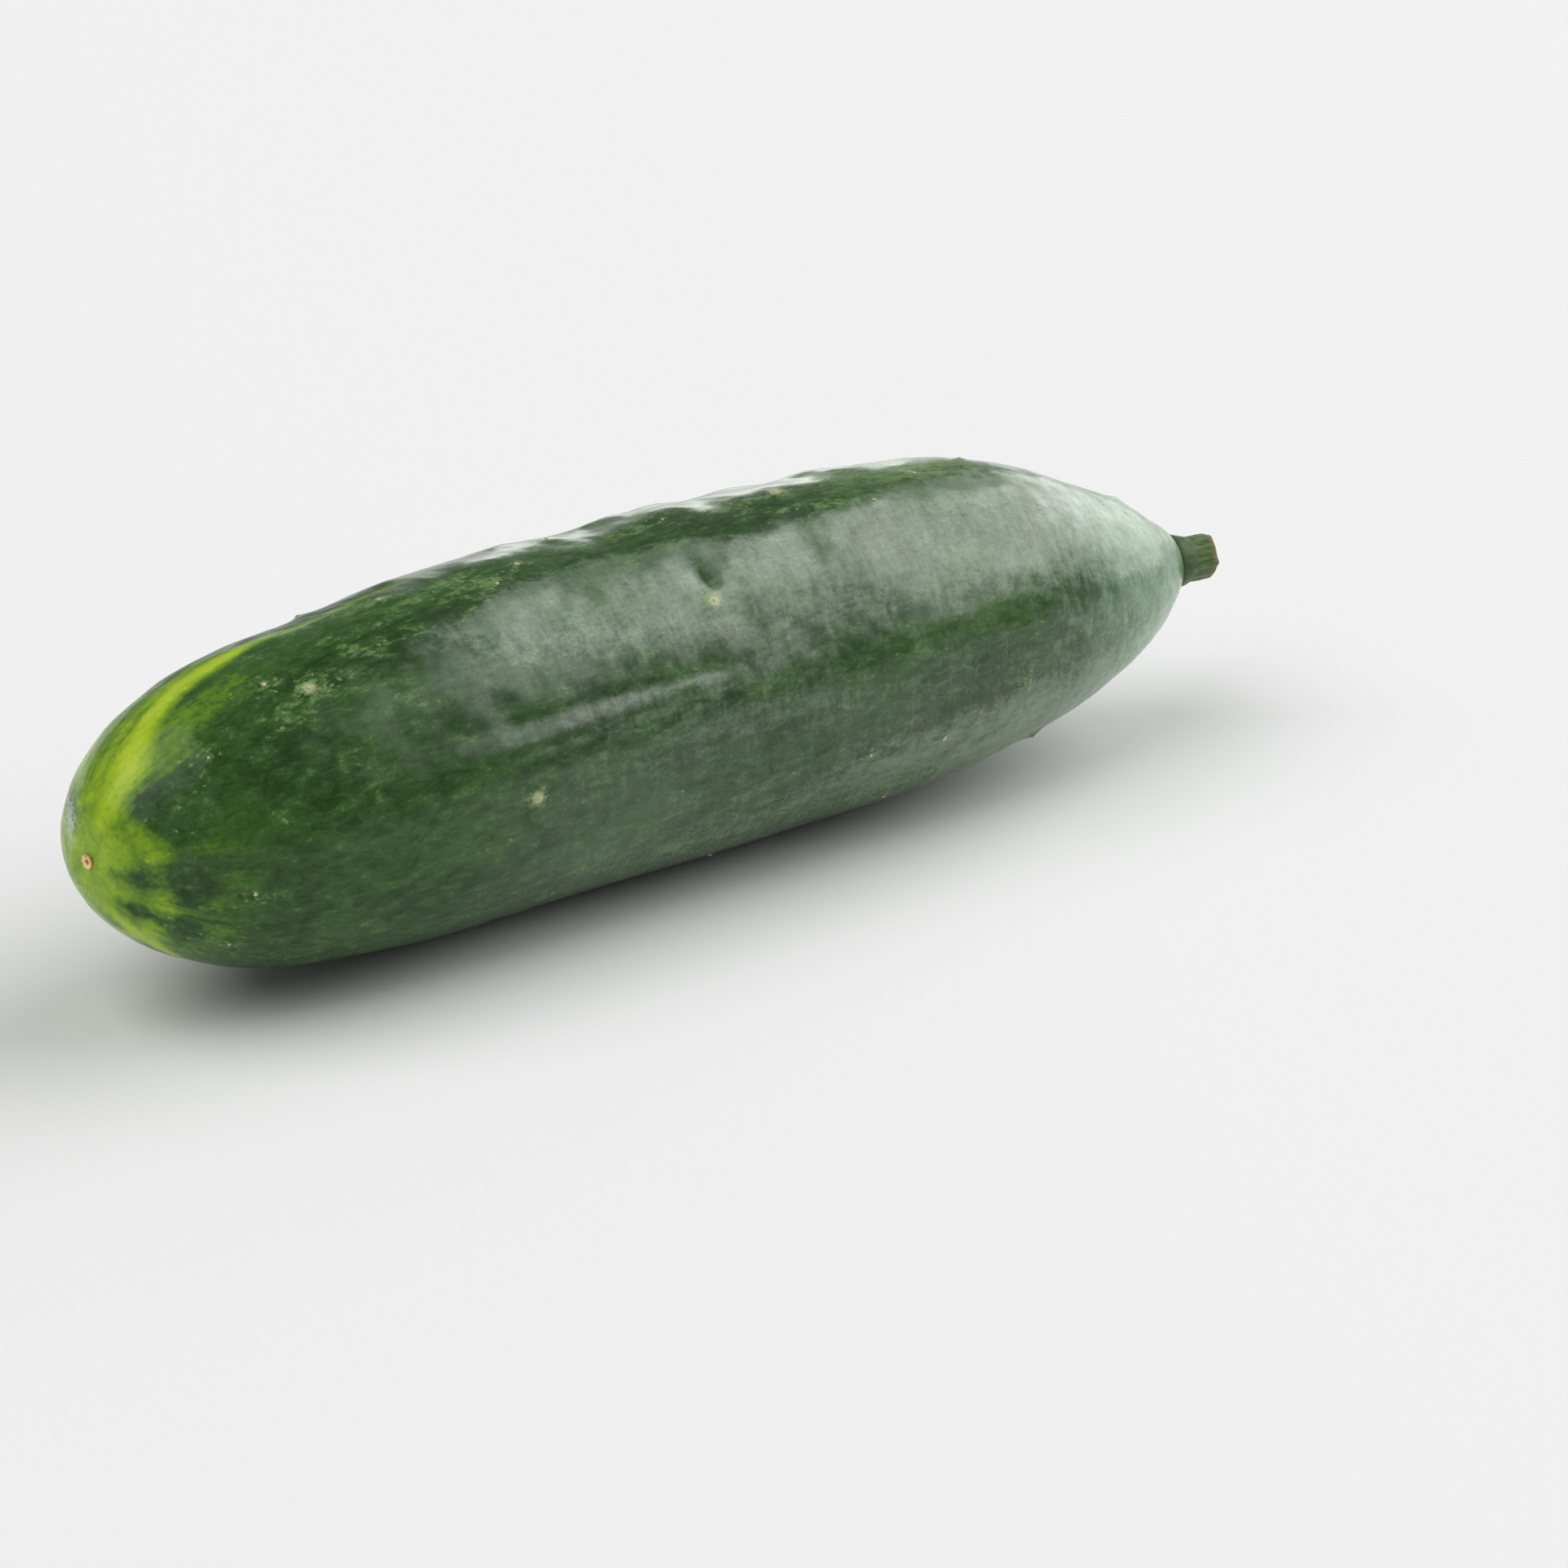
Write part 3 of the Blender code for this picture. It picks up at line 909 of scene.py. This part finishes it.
def make_spines(material, tree, warts):
    """A spine tip on each plain wart and on most of the others, all in one piece."""
    model = make_spine()
    rng = random.Random(SPINE_SEED)
    copies = []
    for wart in warts:
        if wart not in PLAIN_WARTS and rng.random() < BARE_WART_SHARE:
            continue
        point, spoke = spoke_at(*wart)
        hit, normal, _, _ = tree.ray_cast(point, spoke)
        copy = model.copy()
        copy.data = model.data.copy()
        bpy.context.scene.collection.objects.link(copy)
        place_on(copy, hit, normal, rng.uniform(0, math.tau), rng.uniform(*SPINE_SCALE))
        copies.append(copy)
    bpy.data.objects.remove(model)
    deselect_all()
    for copy in copies:
        copy.select_set(True)
    bpy.context.view_layer.objects.active = copies[0]
    bpy.ops.object.join()
    spines = bpy.context.active_object
    spines.name = "spine_tips"
    finish_piece(spines, material)


# ---------------------------------------------------------------------------------------------- blossom scar


def scar_material():
    shader = Shader("corky_scar", {"Roughness": 0.75})
    spread = shader.stored("from_centre")
    where = shader.object_place()
    crumbs = shader.noise(where, 0.00035, 4.0, 0.65) - 0.5
    rings = shader.ramp(SCAR_RINGS, spread + crumbs * 0.55)
    specks = shader.noise(where, 0.0005, 3.0, 0.6).rise(0.54, 0.62) * spread.rise(0.45, 0.75)
    shader.drive("Base Color", shader.mix(specks * 0.85, rings, SCAR_SPECK))
    shader.bump(crumbs, distance=0.0001, strength=0.8)
    return shader.material


def make_scar(material, tree):
    """The corky ring where the flower was, 2.6 mm across, sunken in the middle."""
    deselect_all()
    bpy.ops.mesh.primitive_cylinder_add(vertices=SCAR_SIDES, radius=SCAR_RADIUS, depth=SCAR_DEPTH)
    scar = bpy.context.active_object
    scar.name = "blossom_scar"
    edit_faces(scar, faces_up)
    inset(*SCAR_STEPS)
    leave_edit()
    subdivide(scar, SCAR_LEVELS)
    roughen(scar, "cork", CORK_SIZE, CORK_HEIGHT)
    scar.data.shade_smooth()
    store(scar.data, "from_centre", np.hypot(*points_of(scar.data)[:, :2].T) / SCAR_RADIUS)
    point, along, outward = middle_line(SCAR_START)
    hit, normal, _, _ = tree.ray_cast(point, -along + outward * SCAR_OUTWARD + Vector((0, 0, SCAR_UP)))
    place_on(scar, hit + normal * SCAR_GAP, normal)
    finish_piece(scar, material)


# ------------------------------------------------------------------------------------------------ stem stump


def stem_material():
    shader = Shader("cut_stem", {"Specular IOR Level": 0.35})
    where = shader.stored_place("stem_place")
    on_cut = shader.stored("on_cut")
    across, sideways, height = shader.parts(where)
    threads = shader.noise(shader.stretched(where, (1.0, 1.0, 0.10)), 0.40, 4.0, 0.65)
    side = shader.mix(threads.rise(0.32, 0.68), STALK_DARK, STALK_PALE)
    side = shader.mix(height.rise(2.6, 0.6) * 0.75, side, STALK_FOOT)
    side = shader.mix(height.rise(4.3, 5.3) * 0.65, side, STALK_RIM)
    spread = (across * across + sideways * sideways) ** 0.5
    crumbs = shader.noise(where, 0.45, 4.0, 0.65) - 0.5
    pith = shader.ramp(PITH_RINGS, spread / PITH_RADIUS + crumbs * 0.30)
    bundles, _ = shader.cells(where, 1.5)
    pith = shader.mix(bundles.rise(0.30, 0.12) * spread.rise(1.2, 1.8) * 0.7, pith, PITH_BUNDLE)
    shader.drive("Base Color", shader.mix(on_cut, side, pith))
    shader.drive("Roughness", 0.48 + on_cut * 0.30)
    shader.bump(threads * 0.6 + crumbs * 0.4, distance=0.00015, strength=0.7)
    return shader.material


def corner_stump(mesh):
    """Corners along the stump, that fade out over its flare."""
    for vertex in mesh.vertices:
        turn = math.atan2(vertex.co.y, vertex.co.x)
        spread = math.hypot(vertex.co.x, vertex.co.y)
        corner = max(-math.cos(turn * CORNERS), 0.0) ** 1.5 * min(spread / CORNER_RADIUS, 1.0)
        grow = 1 + CORNER_SHARE * corner * min(max((vertex.co.z - CORNER_START) / CORNER_FADE, 0.0), 1.0)
        vertex.co.x *= grow
        vertex.co.y *= grow


def shape_stump():
    """The stump on its own axis. Its flare reaches down into the end of the fruit."""
    deselect_all()
    size = {"vertices": STUMP_SIDES, "radius": STUMP_RADIUS, "depth": STUMP_LENGTH}
    bpy.ops.mesh.primitive_cylinder_add(location=(0, 0, STUMP_MIDDLE), **size)
    stem = bpy.context.active_object
    bpy.ops.object.transform_apply(location=True, rotation=False, scale=False)
    edit_faces(stem, faces_down)
    for drop, growth in FLARE_STEPS:
        bpy.ops.mesh.extrude_region_move(TRANSFORM_OT_translate={"value": (0, 0, -drop)})
        bpy.ops.transform.resize(value=(growth, growth, 1.0), center_override=(0, 0, 0))
    leave_edit()
    edit_faces(stem, faces_up)
    inset(*CUT_STEPS)
    leave_edit()
    corner_stump(stem.data)
    edit(stem)
    bpy.ops.mesh.normals_make_consistent(inside=False)
    leave_edit()
    edit_faces(stem, on_shaft)
    bpy.ops.mesh.subdivide(number_cuts=STUMP_CUTS)
    leave_edit()
    subdivide(stem, STUMP_LEVELS)
    roughen(stem, "stalk", STALK_SIZE, STALK_HEIGHT)
    return stem


def make_stem(material):
    """The stump of the stalk: five-cornered, flared where it leaves the fruit and cut off square."""
    stem = shape_stump()
    stem.name = "stem_stump"
    stem.data.shade_smooth()
    places = points_of(stem.data) * MM
    store(stem.data, "stem_place", places)
    above = np.clip((places[:, 2] - CUT_HEIGHT) / CUT_HEIGHT_FADE, 0, 1)
    inside = np.clip((CUT_RADIUS - np.hypot(places[:, 0], places[:, 1])) / CUT_RADIUS_FADE, 0, 1)
    store(stem.data, "on_cut", above * inside)
    point, along, _ = middle_line(1.0)
    place_on(stem, point, along)
    finish_piece(stem, material)


# ----------------------------------------------------------------------------------------------------- stage


def aim(obj, target):
    obj.rotation_euler = (target - obj.location).to_track_quat("-Z", "Y").to_euler()


def make_floor():
    deselect_all()
    bpy.ops.mesh.primitive_plane_add(size=FLOOR_SIZE, location=(0, 0, -FLOOR_GAP))
    floor = bpy.context.active_object
    floor.name = "floor"
    constants = {"Base Color": (*FLOOR_GREY, 1.0), "Roughness": 0.9, "Specular IOR Level": 0.1}
    floor.data.materials.append(Shader("pale_floor", constants).material)


def add_panel(name, place, target, width, height, radiance):
    """A soft light panel. Its power follows from its size, so that a panel of any size looks as bright."""
    light = bpy.data.lights.new(name, "AREA")
    light.shape = "RECTANGLE"
    light.size, light.size_y = width, height
    light.energy = radiance * math.pi * width * height
    obj = bpy.data.objects.new(name, light)
    obj.location = place
    bpy.context.scene.collection.objects.link(obj)
    aim(obj, target)


def add_upright_panel(name, azimuth, low, high, width, radiance):
    """A soft light panel that stands upright round the fruit, with its edges at two heights. Its azimuth is
    counted from +X, in degrees."""
    turn = math.radians(azimuth)
    place = Vector((math.cos(turn), math.sin(turn), 0)) * PANEL_DISTANCE + Vector((0, 0, (low + high) / 2))
    add_panel(name, place, Vector((0, 0, place.z)), width, high - low, radiance)


def make_lights():
    add_upright_panel("main_panel", azimuth=-13, low=1.98, high=8.85, width=7.65, radiance=2.65)
    add_upright_panel("low_panel", azimuth=9, low=0.30, high=1.92, width=5.80, radiance=2.2)
    place, target = Vector((-4.5, 0.9, 6.6)), Vector((0, 0, 0.03))
    add_panel("fill_panel", place, target, width=8.4, height=7.2, radiance=1.95)
    add_upright_panel("rim_panel", azimuth=55.2, low=0.02, high=0.62, width=0.76, radiance=3.2)
    world = bpy.data.worlds.new("studio")
    world.use_nodes = True
    background = world.node_tree.nodes["Background"]
    background.inputs["Color"].default_value = (*WORLD_GREY, 1.0)
    bpy.context.scene.world = world


def make_camera():
    camera_data = bpy.data.cameras.new("camera")
    camera_data.sensor_width = CAMERA_SENSOR
    camera_data.lens = CAMERA_LENS
    camera_data.clip_start, camera_data.clip_end = 0.05, 50.0
    camera = bpy.data.objects.new("camera", camera_data)
    bpy.context.scene.collection.objects.link(camera)
    level = math.cos(CAMERA_ELEVATION)
    x, y = math.sin(CAMERA_AZIMUTH) * level, -math.cos(CAMERA_AZIMUTH) * level
    back = Vector((x, y, math.sin(CAMERA_ELEVATION)))
    camera.location = CAMERA_TARGET + back * CAMERA_DISTANCE
    aim(camera, CAMERA_TARGET)
    bpy.context.scene.camera = camera


make_camera()
make_floor()
make_lights()
warts = scattered_warts()
skin = make_skin(skin_material(), warts)
skin_tree = BVHTree.FromPolygons([v.co for v in skin.data.vertices], [p.vertices for p in skin.data.polygons])
make_spines(spine_material(), skin_tree, warts)
make_scar(scar_material(), skin_tree)
make_stem(stem_material())
bpy.context.scene.view_settings.view_transform = "Standard"
